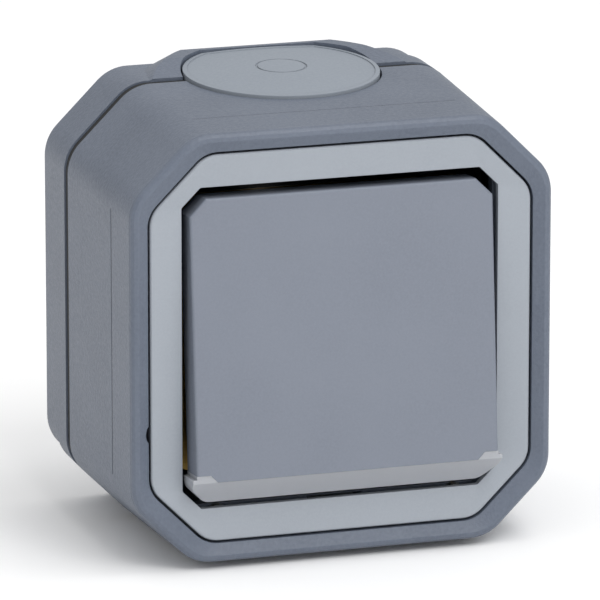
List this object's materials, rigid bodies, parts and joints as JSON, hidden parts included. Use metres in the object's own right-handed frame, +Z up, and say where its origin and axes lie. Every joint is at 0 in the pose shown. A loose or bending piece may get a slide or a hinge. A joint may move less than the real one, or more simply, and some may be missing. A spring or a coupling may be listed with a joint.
{
  "type": "surface-mounted weatherproof rocker switch",
  "caption": "Weatherproof light switch for a wall: grey box with cut corners, sealed hood, soft cable gland on top, pale trim frame and a tilting rocker with a translucent lower strip.",
  "frame": {"origin": "middle of the box's flat back, on the wall", "axes": "+Y into the wall, so the rocker faces -Y; +X to the right of a person who looks at the rocker; +Z up"},
  "size_m": [0.0768, 0.0531, 0.0784],
  "materials": {
    "enclosure": "grey, fine moulded grain",
    "trim": "light grey, satin",
    "rocker": "grey, fine moulded grain",
    "lens": "translucent light grey",
    "gland": "soft light grey thermoplastic, matt",
    "gasket": "black, matt",
    "insulator": "black, matt",
    "cradle": "dark grey, matt",
    "carrier_steel": "steel, yellow passivated",
    "screw_steel": "zinc plated",
    "spring_steel": "bright spring wire",
    "brass": "bare brass",
    "silver": "silver alloy contact"
  },
  "bodies": {
    "enclosure": {"back_box": "enclosure", "hood": "enclosure", "box_gasket": "gasket", "cable_gland": "gland", "hood_screws": "screw_steel", "trim_frame": "trim", "support_plate": "carrier_steel", "plate_screws": "screw_steel", "mechanism_housing": "insulator", "housing_screws": "screw_steel", "housing_cover": "insulator", "hub_boot": "gasket", "fixed_tips": "silver", "upper_terminal": "brass", "lower_terminal": "brass", "common_terminal": "brass", "terminal_screws": "screw_steel"},
    "rocker": {"rocker_cap": "rocker", "rocker_lens": "lens", "rocker_cradle": "cradle", "plunger_spring": "spring_steel"},
    "plunger": {"plunger": "cradle"},
    "contact_lever": {"moving_contact": "brass", "moving_tips": "silver"}
  },
  "joints": [
    {"name": "rocker_hinge", "type": "hinge", "parent": "enclosure", "child": "rocker", "pos_m": [0, -0.042, 0], "axis": [1, 0, 0], "range_deg": [0, 9.7]},
    {"name": "plunger_slide", "type": "slide", "parent": "rocker", "child": "plunger", "axis": [0, -0.9964, 0.0845], "range_m": [0, 0.0008], "stiffness_N_per_m": 400, "springref_m": -0.002, "deforming": ["plunger_spring"]},
    {"name": "contact_hinge", "type": "hinge", "parent": "enclosure", "child": "contact_lever", "pos_m": [0, -0.02701, 0], "axis": [1, 0, 0], "range_deg": [-8, 0]}
  ],
  "couplings": [
    {"joint": "contact_hinge", "follows": "rocker_hinge", "ratio": -0.8247}
  ]
}
